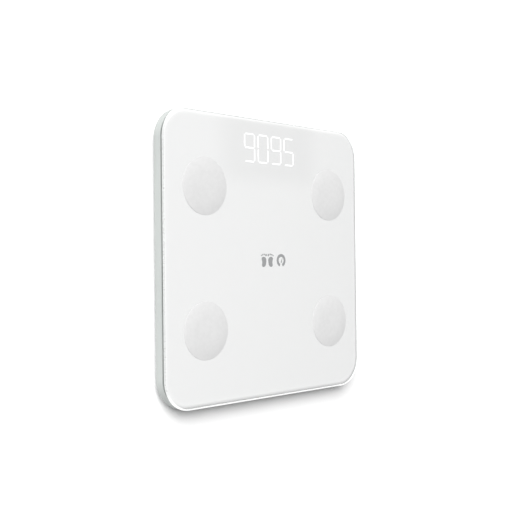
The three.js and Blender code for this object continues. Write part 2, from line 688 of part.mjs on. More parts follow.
function battery(index) {
  const nub = 1;
  const profile = [
    [0, GAP],
    [BATTERY_RADIUS - 0.6, GAP],
    [BATTERY_RADIUS, GAP + 0.6],
    [BATTERY_RADIUS, BATTERY_LENGTH - nub - 0.6],
    [BATTERY_RADIUS - 0.6, BATTERY_LENGTH - nub],
    [1.9, BATTERY_LENGTH - nub],
    [1.9, BATTERY_LENGTH - GAP],
    [0, BATTERY_LENGTH - GAP],
  ];
  const facing = batteryFacing(index);
  const start = facing * (BAY_LENGTH / 2 - CONTACT_THICKNESS - BATTERY_LENGTH);
  return turned(0, 0, profile, 24)
    .rotate([0, facing * 90, 0])
    .translate([start, batteryY(index), BATTERY_Z]);
}

class ConicalHelix extends THREE.Curve {
  constructor(length, wideRadius, narrowRadius, turns) {
    super();
    Object.assign(this, { length, wideRadius, narrowRadius, turns });
  }

  getPoint(t, target = new THREE.Vector3()) {
    const radius = this.wideRadius + (this.narrowRadius - this.wideRadius) * t;
    const angle = 2 * Math.PI * this.turns * t;
    return target.set(this.length * t, radius * Math.cos(angle), radius * Math.sin(angle));
  }
}

// A spring that stands on a contact plate at one end of the bay, side -1 or +1.
function contactSpring(side, y) {
  const wireRadius = 0.35;
  const helix = new ConicalHelix(SPRING_LENGTH - GAP - wireRadius, 3.4, 2.2, 2.5);
  const section = new THREE.Shape();
  section.absarc(0, 0, wireRadius, 0, 2 * Math.PI);
  const options = { steps: 24, extrudePath: helix, curveSegments: 3 };
  const spring = solidFrom(new THREE.ExtrudeGeometry(section, options));
  return spring
    .rotate([0, 0, side > 0 ? 180 : 0])
    .translate([side * (BAY_LENGTH / 2 - CONTACT_THICKNESS - 0.05), y, BATTERY_Z]);
}

// A plate across one or two batteries at one end of the bay, with a spring for each negative end.
function batteryContact(side, cells, hasTab) {
  const wall = (side * BAY_LENGTH) / 2;
  const faces = [wall - side * CONTACT_GAP, wall - side * CONTACT_THICKNESS].sort((a, b) => a - b);
  const ys = cells.map(batteryY);
  const low = Math.min(...ys) - 4;
  const high = Math.max(...ys) + 4;
  let contact = block(...faces, low, high, BATTERY_Z - 4, BATTERY_Z + 4);
  for (const index of cells) {
    if (batteryFacing(index) !== side) contact = contact.add(contactSpring(side, batteryY(index)));
  }
  if (hasTab) {
    const reach = [wall - side * CONTACT_THICKNESS, wall + side * (BAY_WALL + 1)].sort((a, b) => a - b);
    const y = ys[0];
    contact = contact.add(block(...reach, y - TAB_WIDTH / 2, y + TAB_WIDTH / 2, TAB_BOTTOM, TAB_TOP));
  }
  return contact;
}

// The door turns on two short pins at its front edge and has a sprung latch at its back edge.
function batteryDoor() {
  const plate = pad(0, BAY_Y, DOOR_LENGTH, DOOR_WIDTH, TRAY_BOTTOM, DOOR_TOP);
  const pinReach = DOOR_LENGTH / 2 + 1.8;
  const pin = rodAlongX(-pinReach, pinReach, HINGE_Y, HINGE_Z, HINGE_PIN_RADIUS);
  const half = LATCH_WIDTH / 2;
  const arm = block(-half, half, LATCH_Y, LATCH_Y + 0.9, DOOR_TOP - 0.5, LATCH_TOP);
  const nib = block(-half, half, LATCH_Y + 0.5, LATCH_Y + 1.3, LATCH_TOP - 0.8, LATCH_TOP);
  const slots = joined(
    block(-half - 1, -half, LATCH_Y - 4, DOOR_BACK + 1, TRAY_BOTTOM - 1, DOOR_TOP + 1),
    block(half, half + 1, LATCH_Y - 4, DOOR_BACK + 1, TRAY_BOTTOM - 1, DOOR_TOP + 1),
  );
  let door = joined(plate, pin, arm, nib).subtract(slots);
  // Three grip lines across the back of the door, for a fingertip.
  for (let i = 0; i < 3; i += 1) {
    door = door.subtract(pad(0, LATCH_Y - 7 - 2 * i, LATCH_WIDTH, 0.8, TRAY_BOTTOM - 1, TRAY_BOTTOM + 0.3));
  }
  return door;
}

// ---------------------------------------------------------------- wires

// Points along a slack run between two points, bowed sideways in X by up to bow.
function slackRun(from, to, bow) {
  return [0.2, 0.4, 0.6, 0.8].map((t) => {
    const [x, y, z] = from.map((value, i) => value + (to[i] - value) * t);
    return [x + bow * Math.sin(Math.PI * t), y, z];
  });
}

// From the top of a load cell, out through the carrier's wall, to the board.
function cellCableRoute({ footX, footY, sx, sy }) {
  const landing = BOARD_TOP + CELL_CABLE_RADIUS + SOLDER_GAP;
  const z = CELL_CABLE_START_Z;
  const begin = CELL_SIZE / 2 - 4;
  const edge = CARRIER_SIZE / 2;
  if (sy > 0) {
    const y = footY + 8.5;
    return [
      [footX - sx * begin, y, z],
      [footX - sx * (edge - 4), y, z],
      [footX - sx * (edge + 1), y, z + 0.1],
      [sx * (BOARD_WIDTH / 2 + 4), y, landing - 0.2],
      [sx * (BOARD_WIDTH / 2 - 3), y - 1, landing],
    ];
  }
  const x = footX - sx * 8.5;
  const outside = [x, footY + edge + 2, z];
  const bend = [sx * (BOARD_WIDTH / 2 + 7), BOARD_HEEL_EDGE - 12, CELL_CABLE_Z];
  return [
    [x, footY + begin, z],
    [x, footY + edge - 4, z],
    outside,
    ...slackRun([x, footY + edge + 8, CELL_CABLE_Z], bend, sx * 4),
    bend,
    [sx * (BOARD_WIDTH / 2 - 4), BOARD_HEEL_EDGE - 4, landing - 0.1],
    [sx * (BOARD_WIDTH / 2 - 6), BOARD_HEEL_EDGE + 3, landing],
  ];
}

// From under an electrode's stud to the board.
function electrodeLeadRoute({ electrodeX, electrodeY, sx, sy }) {
  const landing = BOARD_TOP + LEAD_RADIUS + SOLDER_GAP;
  const start = [electrodeX - sx * 0.2, electrodeY, GLASS_TOP - STUD_LENGTH - GAP - LEAD_RADIUS];
  if (sy > 0) {
    const away = [electrodeX - sx * 6, electrodeY - 0.5, LEAD_Z + 0.1];
    const bend = [sx * (BOARD_WIDTH / 2 - 3), BOARD_HEEL_EDGE - 8, LEAD_Z];
    return [
      start,
      away,
      bend,
      [sx * (BOARD_WIDTH / 2 - 11), BOARD_HEEL_EDGE - 2, LEAD_Z],
      [sx * (BOARD_WIDTH / 2 - 13), BOARD_HEEL_EDGE + 4, landing],
    ];
  }
  const away = [electrodeX - sx * 5, electrodeY + 1, LEAD_Z + 0.2];
  const bend = [sx * (BOARD_WIDTH / 2 - 19), BOARD_HEEL_EDGE - 2, LEAD_Z];
  return [
    start,
    away,
    ...slackRun(away, bend, -sx * 3),
    bend,
    [sx * (BOARD_WIDTH / 2 - 20), BOARD_HEEL_EDGE + 4, landing],
  ];
}

// From a contact's tab to the board.
function batteryLeadRoute({ side, battery: index }) {
  const landing = BOARD_TOP + LEAD_RADIUS + SOLDER_GAP;
  const x = side * (BAY_LENGTH / 2 + BAY_WALL + 1 + GAP);
  const z = (TAB_BOTTOM + TAB_TOP) / 2;
  return [
    [x, batteryY(index), z],
    [x + side * 3, batteryY(index) + 1, z],
    [x + side * 8, batteryY(index) + 8, z],
    [x + side * 6, (DOOR_BACK + BOARD_HEEL_EDGE) / 2, LEAD_Z],
    [x, BOARD_HEEL_EDGE - 2, LEAD_Z],
    [x - side * 2, BOARD_HEEL_EDGE + 4, landing],
  ];
}

// ---------------------------------------------------------------- assembly

const FINISHES = {
  glass: { color: 0xf4f7f6, roughness: 0.05, metalness: 0 },
  print: { color: 0xeff0f0, roughness: 0.5, metalness: 0 },
  electrode: { color: 0xdedfe0, roughness: 0.35, metalness: 0.6 },
  tray: { color: 0xdfe2e1, roughness: 0.4, metalness: 0 },
  tape: { color: 0xf2f3f2, roughness: 0.9, metalness: 0 },
  plastic: { color: 0xf1f1ef, roughness: 0.5, metalness: 0 },
  rubber: { color: 0xb9bbba, roughness: 0.85, metalness: 0 },
  steel: { color: 0xa9acae, roughness: 0.35, metalness: 1 },
  board: { color: 0x1f5a3a, roughness: 0.5, metalness: 0 },
  chip: { color: 0x1c1d1f, roughness: 0.5, metalness: 0 },
  battery: { color: 0x3a4148, roughness: 0.35, metalness: 0.4 },
  diffuser: { color: 0xfafafa, roughness: 0.6, metalness: 0 },
  sleeve: { color: 0xe6e6e2, roughness: 0.6, metalness: 0 },
  redWire: { color: 0xa32620, roughness: 0.5, metalness: 0 },
  blackWire: { color: 0x1b1b1b, roughness: 0.5, metalness: 0 },
};

const scale = new THREE.Group();

function place(name, solid, finish) {
  const mesh = new THREE.Mesh(geometryFrom(solid), new THREE.MeshStandardMaterial(FINISHES[finish]));
  mesh.name = name;
  scale.add(mesh);
}

place("glass_platform", glassPlatform(), "glass");
place("white_print", whitePrint(), "print");
place("bonding_tape", bondingTape(), "tape");
place("base_tray", baseTray(), "tray");
place("main_board", mainBoard(), "board");
place("display_reflector", displayReflector(), "plastic");
place("display_diffuser", displayDiffuser(), "diffuser");
place("radio_module", radioModule(), "steel");
place("controller_chip", controllerChip(), "chip");
place("tact_switch", tactSwitch(), "chip");
place("switch_plunger", switchPlunger(), "plastic");
place("unit_button", unitButton(), "plastic");
place("battery_door", batteryDoor(), "tray");
for (let i = 0; i < BATTERY_COUNT; i += 1) place(`battery_${i + 1}`, battery(i), "battery");
place("contact_positive", batteryContact(-1, [0], true), "steel");
place("contact_bridge_left", batteryContact(-1, [1, 2], false), "steel");
place("contact_bridge_right", batteryContact(1, [0, 1], false), "steel");
place("contact_negative", batteryContact(1, [2], true), "steel");
for (const corner of CORNERS) {
  place(`electrode_${corner.name}`, electrode(corner), "electrode");
  place(`foot_pad_${corner.name}`, footPad(corner), "rubber");
  place(`foot_cup_${corner.name}`, footCup(corner), "plastic");
  place(`load_cell_${corner.name}`, loadCell(corner), "steel");
  place(`cell_carrier_${corner.name}`, loadCellCarrier(corner), "plastic");
  corner.ears.forEach(([x, y], i) => {
    const depth = EAR_TOP - TRAY_BOTTOM - 1.5;
    place(`carrier_screw_${corner.name}_${i + 1}`, screw(x, y, EAR_TOP, depth), "steel");
  });
  const cable = wire(cellCableRoute(corner), CELL_CABLE_RADIUS, corner.sy > 0 ? 8 : 38, 8);
  place(`cell_cable_${corner.name}`, cable, "sleeve");
  const lead = wire(electrodeLeadRoute(corner), LEAD_RADIUS, corner.sy > 0 ? 18 : 46, 6);
  place(`electrode_lead_${corner.name}`, lead, "sleeve");
}
BOARD_SCREWS.forEach(([x, y], i) => {
  place(`board_screw_${i + 1}`, screw(x, y, BOARD_TOP, BOARD_TOP - TRAY_BOTTOM - 2), "steel");
});
place("battery_lead_positive", wire(batteryLeadRoute(TERMINALS[0]), LEAD_RADIUS, 24, 6), "redWire");
place("battery_lead_negative", wire(batteryLeadRoute(TERMINALS[1]), LEAD_RADIUS, 30, 6), "blackWire");

export default scale;
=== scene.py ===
# %% [markdown]
# # A glass-topped bathroom scale
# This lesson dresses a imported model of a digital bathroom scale. The frame gives every piece its
# place and its body; here each visible piece gets its real edges, finish and light. All lengths are
# in metres, +Z points up through the glass, and +Y runs from the heels to the display.

# %% Load the frame
import json
import math

import bmesh
import bpy
from mathutils import Matrix, Vector

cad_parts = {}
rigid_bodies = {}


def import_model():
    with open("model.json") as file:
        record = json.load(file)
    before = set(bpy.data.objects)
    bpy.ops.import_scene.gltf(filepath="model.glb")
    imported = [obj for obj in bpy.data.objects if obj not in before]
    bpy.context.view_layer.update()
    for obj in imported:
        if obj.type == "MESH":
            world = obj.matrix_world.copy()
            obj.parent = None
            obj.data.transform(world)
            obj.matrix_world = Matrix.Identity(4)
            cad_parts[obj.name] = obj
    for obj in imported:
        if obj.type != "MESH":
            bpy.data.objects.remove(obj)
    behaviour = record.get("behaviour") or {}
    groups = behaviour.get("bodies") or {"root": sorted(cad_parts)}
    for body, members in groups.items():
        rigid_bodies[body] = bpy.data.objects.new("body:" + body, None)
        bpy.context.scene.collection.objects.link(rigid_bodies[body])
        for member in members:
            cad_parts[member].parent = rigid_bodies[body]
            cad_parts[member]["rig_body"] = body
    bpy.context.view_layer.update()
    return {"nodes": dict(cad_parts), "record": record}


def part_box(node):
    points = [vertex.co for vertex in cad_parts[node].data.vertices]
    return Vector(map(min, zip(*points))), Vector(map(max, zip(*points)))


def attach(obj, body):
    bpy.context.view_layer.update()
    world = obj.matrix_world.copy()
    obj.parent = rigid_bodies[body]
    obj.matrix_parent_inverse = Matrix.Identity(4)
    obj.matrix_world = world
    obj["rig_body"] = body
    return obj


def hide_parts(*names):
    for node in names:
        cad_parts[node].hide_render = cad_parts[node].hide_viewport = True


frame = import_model()
MM = 0.001
CORNERS = {"toe_left": (-1, 1), "toe_right": (1, 1), "heel_left": (-1, -1), "heel_right": (1, -1)}

# %% [markdown]
# The camera looks across the glass from the left, rolled so that the top of the picture is the
# display's side. Three unit vectors say it best: right, up, and the way back from the aim.

# %% Camera
RIGHT = Vector((0.704401, -0.010749, 0.709721))
UP = Vector((-0.000609, 0.999876, 0.015748))
LENS_MM, SENSOR_MM = 61.7, 36
CAMERA_X, CAMERA_Y, CAMERA_OVER_GLASS = -0.63823, -0.00687, 0.60965
glass_low, glass_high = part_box("glass_platform")
back = RIGHT.cross(UP)
camera_data = bpy.data.cameras.new("camera")
camera_data.lens = LENS_MM
camera_data.sensor_width = SENSOR_MM
camera_data.clip_start = 0.01
camera = bpy.data.objects.new("camera", camera_data)
camera_place = Matrix.Translation((CAMERA_X, CAMERA_Y, glass_high.z + CAMERA_OVER_GLASS))
camera.matrix_world = camera_place @ Matrix((RIGHT, UP, back)).transposed().to_4x4()
bpy.context.scene.collection.objects.link(camera)
bpy.context.scene.camera = camera
bpy.context.scene.view_settings.view_transform = "Standard"
bpy.context.scene.cycles.caustics_refractive = False
print("camera looks along", [round(-v, 3) for v in back])

# %% [markdown]
# Shader and geometry maths read best as plain expressions. `Graph` wraps a node tree: `node` adds
# any node, with its settings first and then its sockets, and `Value` wraps a socket, so that
# `1 - mask * 0.2` adds the Math nodes it needs.

# %% One class for a socket, one for a tree
class Value:
    def __init__(self, graph, socket):
        self.graph, self.socket = graph, socket

    def also(self, name):
        return Value(self.graph, self.socket.node.outputs[name])

    def __add__(self, other): return self.graph.math("ADD", self, other)
    def __sub__(self, other): return self.graph.math("SUBTRACT", self, other)
    def __rsub__(self, other): return self.graph.math("SUBTRACT", other, self)
    def __mul__(self, other): return self.graph.math("MULTIPLY", self, other)
    def __truediv__(self, other): return self.graph.math("DIVIDE", self, other)
    def __pow__(self, other): return self.graph.math("POWER", self, other)
    def __neg__(self): return self.graph.math("MULTIPLY", self, -1.0)


class Graph:
    def __init__(self, tree):
        self.tree = tree

    def node(self, kind, settings=None, sockets=None, out=0):
        made = self.tree.nodes.new(kind)
        for name, value in (settings or {}).items():
            if name == "stops":
                ramp = made.color_ramp
                while len(ramp.elements) < len(value):
                    ramp.elements.new(1.0)
                for element, (position, colour) in zip(ramp.elements, value):
                    element.position = position
                    element.color = (*colour, 1.0)
            else:
                setattr(made, name, value)
        for key, value in (sockets or {}).items():
            for one in value if isinstance(value, list) else [value]:
                if isinstance(one, Value):
                    self.tree.links.new(one.socket, made.inputs[key])
                else:
                    made.inputs[key].default_value = one
        return Value(self, made.outputs[out])

    def math(self, operation, a, b=0.0):
        return self.node("ShaderNodeMath", {"operation": operation}, {0: a, 1: b})

    def mix(self, share, a, b):
        return self.node("ShaderNodeMix", {"data_type": "RGBA", "clamp_factor": True},
                         {0: share, 6: a, 7: b}, out=2)

    def smooth(self, value, low, high, start=0.0, end=1.0):
        return self.node("ShaderNodeMapRange", {"interpolation_type": "SMOOTHSTEP"},
                         {"Value": value, "From Min": low, "From Max": high,
                          "To Min": start, "To Max": end})


print("helpers ready:", Graph.__name__, Value.__name__)

# %% [markdown]
# Every finish starts from the same few things: a Principled shader, the object's own coordinates in
# metres, and noise at a stated size. `Finish` gathers them. `grain` is noise whose cells are a
# stated length across, `vary` and `blend` turn it into a number or a colour over the range that
# noise usually keeps to, and `relief` turns heights into a normal.

# %% A starting point for every finish
def srgb(red, green, blue):
    def linear(v):
        v /= 255
        return v / 12.92 if v <= 0.04045 else ((v + 0.055) / 1.055) ** 2.4
    return (linear(red), linear(green), linear(blue), 1.0)


def dimmed(colour, share):
    return tuple(c * share for c in colour[:3]) + (1.0,)


class Finish(Graph):
    def __init__(self, name):
        self.material = bpy.data.materials.new(name)
        self.material.use_nodes = True
        super().__init__(self.material.node_tree)
        self.tree.nodes.clear()
        self.place = self.node("ShaderNodeTexCoord", out="Object")
        split = self.node("ShaderNodeSeparateXYZ", sockets={0: self.place})
        self.x, self.y, self.z = split, split.also("Y"), split.also("Z")

    def grain(self, size, detail=2.0, stretch=(1, 1, 1)):
        place = self.place
        if stretch != (1, 1, 1):
            place = self.node("ShaderNodeMapping", sockets={"Vector": place, "Scale": stretch})
        return self.node("ShaderNodeTexNoise", sockets={
            "Vector": place, "Scale": 1 / size, "Detail": detail})

    def vary(self, noise, start, end, low=0.3, high=0.7):
        return self.smooth(noise, low, high, start, end)

    def blend(self, noise, a, b, low=0.3, high=0.7):
        return self.mix(self.smooth(noise, low, high), a, b)

    def relief(self, height, distance):
        return self.node("ShaderNodeBump", sockets={
            "Height": height, "Distance": distance, "Strength": 1.0})

    def done(self, **sockets):
        named = {key.replace("_", " "): value for key, value in sockets.items()}
        surface = self.node("ShaderNodeBsdfPrincipled", sockets=named)
        self.node_out(surface)
        return self.material

    def node_out(self, surface):
        output = self.tree.nodes.new("ShaderNodeOutputMaterial")
        self.tree.links.new(surface.socket, output.inputs["Surface"])


print("grey 240 is", [round(v, 3) for v in srgb(240, 240, 240)[:3]], "as light")

# %% [markdown]
# The tray is moulded in light grey plastic with a faint green cast, the feet and the inner frames
# in white. The mould is spark-eroded: a fine pebble texture under a millimetre, which spreads every
# highlight. Two noises do it, one for the pebbles and one, much larger, for the slow change in
# gloss that handling leaves.

# %% Moulded plastics
def moulded(name, colour, pebble, depth, roughness, mottle=0.02):
    f = Finish(name)
    pebbles = f.grain(pebble, 3.0)
    handling = f.grain(30 * MM, 4.0)
    tint = f.blend(handling, srgb(*colour), dimmed(srgb(*colour), 1 - mottle))
    gloss = f.vary(handling, roughness - 0.06, roughness + 0.06, 0.25, 0.75)
    return f.done(Base_Color=tint, Roughness=gloss, Normal=f.relief(pebbles, depth))


tray_plastic = moulded("tray_plastic", (166, 170, 168), 0.4 * MM, 0.02 * MM, 0.42)
foot_plastic = moulded("foot_plastic", (238, 238, 236), 0.3 * MM, 0.015 * MM, 0.38)
frame_plastic = moulded("frame_plastic", (232, 231, 226), 0.6 * MM, 0.03 * MM, 0.5)
dark_plastic = moulded("dark_plastic", (30, 31, 33), 0.3 * MM, 0.02 * MM, 0.45, mottle=0.2)
print("plastics:", tray_plastic.name, foot_plastic.name, frame_plastic.name, dark_plastic.name)

# %% [markdown]
# The platform is tempered glass. Glass bends light, so it is a Principled shader with full
# transmission, and a shadow ray passes it straight, because lamps would otherwise not reach the
# print beneath. Light that is bent on its way to the print would count twice, so refractive
# caustics are off. Wiped glass is never quite clean: a broad, faint noise dulls it.
#
# Its edge is ground: a frosted bevel and a cut side whose dark grey is painted shade, drawing a
# dark line along the plate's edge.
# Light that enters by the face and travels inside the plate would leave at its edges. Here that is
# painted glow: a faint emission on the edges that face away from the lamp, set by a mask. It spares
# the left edge, which faces the lamp.

# %% Tempered glass
GLASS_IOR = 1.52
PAINTED_GLOW_STARTS, PAINTED_GLOW_FULL = 118 * MM, 134 * MM


def lets_lamps_through(f, body):
    straight = f.node("ShaderNodeBsdfTransparent", sockets={"Color": (1, 1, 1, 1)})
    shadow = f.node("ShaderNodeLightPath", out="Is Shadow Ray")
    f.node_out(f.node("ShaderNodeMixShader", sockets={0: shadow, 1: body, 2: straight}))
    return f.material


def clear_glass():
    f = Finish("tempered_glass")
    wiped = f.grain(50 * MM, 5.0, (1, 2.5, 1))
    return lets_lamps_through(f, f.node("ShaderNodeBsdfPrincipled", sockets={
        "Base Color": (0.995, 1.0, 0.998, 1), "Roughness": f.vary(wiped, 0.0, 0.03, 0.35, 0.8),
        "Transmission Weight": 1.0, "IOR": GLASS_IOR}))


def ground_glass(name, colour, clearness, roughness, painted_glow):
    f = Finish(name)
    wheel = f.grain(0.8 * MM, 3.0)
    reach = f.math("MAXIMUM", f.math("ABSOLUTE", f.y), f.x)
    # Painted glow: emission on the edges away from the lamp, standing in for light piped through
    # the plate.
    painted_glow_mask = f.mix(f.smooth(reach, PAINTED_GLOW_STARTS, PAINTED_GLOW_FULL), (0, 0, 0, 1), (1, 1, 1, 1))
    return lets_lamps_through(f, f.node("ShaderNodeBsdfPrincipled", sockets={
        "Base Color": f.blend(wheel, colour, dimmed(colour, 0.94)),
        "Roughness": f.vary(wheel, roughness - 0.05, roughness + 0.05),
        "Transmission Weight": clearness, "IOR": GLASS_IOR,
        "Emission Color": painted_glow_mask, "Emission Strength": painted_glow,
        "Normal": f.relief(wheel, 0.01 * MM)}))


glass = clear_glass()
ground_bevel = ground_glass("ground_bevel", srgb(245, 247, 246), clearness=0.6, roughness=0.3,
                            painted_glow=0.45)
# Painted shade: the cut side is coloured dark grey to draw the dark line at the glass's edge.
cut_side = ground_glass("cut_side", srgb(70, 76, 74), clearness=0.25, roughness=0.4, painted_glow=0.55)
print("glass is", round((glass_high.z - glass_low.z) / MM, 1), "mm thick")

# %% [markdown]
# White ink is fired onto the back of the glass. Over the display it is laid thinner, so that the
# digits can shine through, and there the white looks a touch greyer. A soft mask around the
# display's middle makes that patch. Another follows the distance to the rounded outline, negative
# inside, and lightens a band all round near the edge: a painted highlight for the glass's bright
# rim. A fine speckle stands for the ink's frit. Fired ink has no air above it, so it has no gloss
# of its own: the shine is the glass's.

# %% Fired white ink, with its thin patch over the display
DISPLAY_X, DISPLAY_Y = 1.0 * MM, 109.5 * MM
PRINT_WHITE, THIN_WHITE = srgb(243, 243, 243), srgb(237, 237, 237)
PAINTED_HIGHLIGHT_WHITE = srgb(246, 246, 246)
THIN_CORE_X, THIN_ENDS_X = 45 * MM, 85 * MM
THIN_CORE_Y, THIN_ENDS_Y = 18 * MM, 45 * MM
HIGHLIGHT_BAND_STARTS, HIGHLIGHT_BAND_FULL = -8 * MM, -5 * MM
CORNER_RADIUS = 30 * MM
FRIT_SHOWS = 0.12


def fired_ink():
    f = Finish("fired_ink")
    across = f.math("ABSOLUTE", f.x - DISPLAY_X)
    along = f.math("ABSOLUTE", f.y - DISPLAY_Y)
    patch = (f.smooth(across, THIN_CORE_X, THIN_ENDS_X, 1.0, 0.0)
             * f.smooth(along, THIN_CORE_Y, THIN_ENDS_Y, 1.0, 0.0))
    straight = glass_high.x - CORNER_RADIUS
    past_x = f.math("ABSOLUTE", f.x) - straight
    past_y = f.math("ABSOLUTE", f.y) - straight
    round_x, round_y = f.math("MAXIMUM", past_x, 0.0), f.math("MAXIMUM", past_y, 0.0)
    outside = (round_x * round_x + round_y * round_y) ** 0.5
    inside = f.math("MINIMUM", f.math("MAXIMUM", past_x, past_y), 0.0)
    # Painted highlight: a lighter band all round, just inside the ink's edge.
    highlight_band = f.smooth(outside + inside - CORNER_RADIUS, HIGHLIGHT_BAND_STARTS, HIGHLIGHT_BAND_FULL)
    white = f.mix(patch, f.mix(highlight_band, PRINT_WHITE, PAINTED_HIGHLIGHT_WHITE), THIN_WHITE)
    frit = f.grain(0.5 * MM, 2.0)
    white = f.mix(f.vary(frit, 0.0, 1.0) * FRIT_SHOWS, white, dimmed(PRINT_WHITE, 0.93))
    return f.done(Base_Color=white, Roughness=f.vary(frit, 0.55, 0.7),
                  Normal=f.relief(frit, 0.01 * MM), Specular_IOR_Level=0.0)


ink = fired_ink()
print("ink patch centred on", round(DISPLAY_Y / MM, 1), "mm")

# %% [markdown]
# The four electrodes are pressed discs of satin steel. A lathe leaves rings too fine to count, so
# the rings are a wave in the radius, broken by noise, and they alter only gloss and relief. The
# press leaves each disc very slightly bowed along Y, which shades it from its toe end to its heel.

# %% Satin steel, plated steel
DISC_RADIUS = (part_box("electrode_toe_right")[1].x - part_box("electrode_toe_right")[0].x) / 2
DISH_SLOPE = 0.09
RING_PITCH, SKIN_DEPTH = 0.5 * MM, 0.003 * MM
disc_places = {}
for name in CORNERS:
    low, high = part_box("electrode_" + name)
    disc_places[name] = (low + high) / 2


def satin_disc():
    f = Finish("satin_disc")
    from_middle = f.math("SUBTRACT", f.math("ABSOLUTE", f.x), disc_places["toe_right"].x)
    from_centre = f.math("SUBTRACT", f.math("ABSOLUTE", f.y), disc_places["toe_right"].y)
    radius = (from_middle * from_middle + from_centre * from_centre) ** 0.5
    rings = f.math("SINE", radius * (2 * math.pi / RING_PITCH)) * 0.5 + 0.5
    broken = f.grain(4 * MM, 4.0)
    fine = f.grain(0.3 * MM, 2.0)
    gloss = f.vary(broken, 0.36, 0.44) + rings * 0.03
    tone = f.blend(broken, srgb(226, 226, 226), srgb(222, 222, 222), 0.25, 0.75)
    dome = from_centre * from_centre * (-DISH_SLOPE / (2 * DISC_RADIUS))
    height = dome + (rings * 0.5 + fine * 0.5) * SKIN_DEPTH
    return f.done(Base_Color=tone, Metallic=0.2, Roughness=gloss, Normal=f.relief(height, 1.0))


def plated_steel():
    f = Finish("plated_steel")
    drawn = f.grain(0.4 * MM, 3.0, (1, 12, 1))
    spots = f.grain(6 * MM, 3.0)
    tone = f.blend(spots, srgb(186, 188, 190), srgb(160, 162, 163))
    return f.done(Base_Color=tone, Metallic=1.0, Roughness=f.vary(drawn, 0.25, 0.42, 0.2, 0.8),
                  Normal=f.relief(drawn, 0.01 * MM))


disc_steel, part_steel = satin_disc(), plated_steel()
print("discs at", {k: [round(c / MM, 1) for c in v[:2]] for k, v in disc_places.items()})

# %% [markdown]
# Rubber feet are matt, with a talc bloom that gathers in patches. The foam tape is a field of
# cells. The circuit board is green lacquer over copper: square Voronoi cells give the tracks'
# relief.

# %% Rubber, foam, board
FOAM_CELL, TRACK_PITCH = 0.5 * MM, 4 * MM


def foot_rubber():
    f = Finish("foot_rubber")
    bloom = f.grain(5 * MM, 5.0)
    skin = f.grain(0.4 * MM, 2.0)
    tone = f.blend(bloom, srgb(176, 178, 177), srgb(194, 195, 194), 0.4, 0.75)
    return f.done(Base_Color=tone, Roughness=f.vary(bloom, 0.72, 0.88),
                  Normal=f.relief(skin, 0.03 * MM))


def foam_tape():
    f = Finish("foam_tape")
    cells = f.node("ShaderNodeTexVoronoi", sockets={"Vector": f.place, "Scale": 1 / FOAM_CELL},
                   out="Distance")
    tone = f.blend(cells, srgb(236, 238, 237), srgb(220, 223, 222), 0.1, 0.7)
    return f.done(Base_Color=tone, Roughness=f.vary(cells, 0.6, 0.8, 0, 1),
                  Normal=f.relief(cells, 0.04 * MM))


def lacquered_board():
    f = Finish("lacquered_board")
    square = f.node("ShaderNodeTexVoronoi", {"distance": "CHEBYCHEV"},
                    {"Vector": f.place, "Scale": 1 / TRACK_PITCH}, out="Distance")
    tracks = f.smooth(square, 0.28, 0.34)
    weave = f.grain(0.8 * MM, 2.0)
    tone = f.mix(tracks, srgb(38, 104, 68), srgb(24, 78, 50))
    return f.done(Base_Color=tone, Roughness=f.vary(weave, 0.25, 0.4),
                  Normal=f.relief(tracks * 0.8 + weave * 0.2, 0.03 * MM))


rubber, tape, lacquer = foot_rubber(), foam_tape(), lacquered_board()
print("soft and board finishes:", rubber.name, tape.name, lacquer.name)

# %% [markdown]
# A battery is a steel can in a printed sleeve. The sleeve here is plain: dark, with a copper band
# near the positive end, and no words. A ramp along the can's length lays the colours out, as
# shares of that length, and beyond the sleeve's two ends the can is bare metal.

# %% Batteries, film and wires
SLEEVE_STARTS, BAND_STARTS, SLEEVE_ENDS = 0.022, 0.70, 0.955
SLEEVE_MIDDLE, SLEEVE_HALF = 0.489, 0.467


def battery_sleeve(node):
    low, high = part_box(node)
    f = Finish("sleeve_" + node)
    nub_right = int(node[-1]) % 2 == 1
    along = (f.x - low.x if nub_right else high.x - f.x) / (high.x - low.x)
    metal, dark, copper = srgb(190, 190, 188)[:3], srgb(52, 57, 63)[:3], srgb(186, 122, 70)[:3]
    stops = [(0.0, metal), (SLEEVE_STARTS, dark), (BAND_STARTS, copper), (SLEEVE_ENDS, metal)]
    bands = f.node("ShaderNodeValToRGB", {"stops": stops}, {"Fac": along})
    bands.socket.node.color_ramp.interpolation = "CONSTANT"
    scuffs = f.grain(2 * MM, 5.0, (1, 6, 6))
    tone = f.mix(f.smooth(scuffs, 0.62, 0.75) * 0.35, bands, srgb(150, 150, 150))
    ends = f.math("GREATER_THAN", f.math("ABSOLUTE", along - SLEEVE_MIDDLE), SLEEVE_HALF)
    return f.done(Base_Color=tone, Metallic=ends, Roughness=f.vary(scuffs, 0.22, 0.4, 0.3, 0.8),
                  Normal=f.relief(scuffs, 0.01 * MM))


def milky_film():
    f = Finish("milky_film")
    haze = f.grain(3 * MM, 4.0)
    tone = f.blend(haze, srgb(248, 248, 247), srgb(240, 241, 241))
    return f.done(Base_Color=tone, Roughness=f.vary(haze, 0.3, 0.45))


def wire_sheath(name, colour):
    f = Finish(name)
    drag = f.grain(1 * MM, 3.0)
    tone = f.blend(drag, srgb(*colour), dimmed(srgb(*colour), 0.88))
    return f.done(Base_Color=tone, Roughness=f.vary(drag, 0.35, 0.5),
                  Normal=f.relief(drag, 0.02 * MM))


film = milky_film()
white_sheath = wire_sheath("white_sheath", (230, 230, 226))
red_sheath = wire_sheath("red_sheath", (163, 38, 32))
black_sheath = wire_sheath("black_sheath", (34, 34, 36))
print("film and wires:", film.name, white_sheath.name, red_sheath.name, black_sheath.name)

# %% [markdown]
# Each of these finishes goes onto the CAD nodes whose shape is already right. Turned and rounded
# pieces come out of CAD as loose flat triangles, so a copy is welded, its soft edges are shaded
# smoothly and its sharp ones kept, and the copy stands for the node.

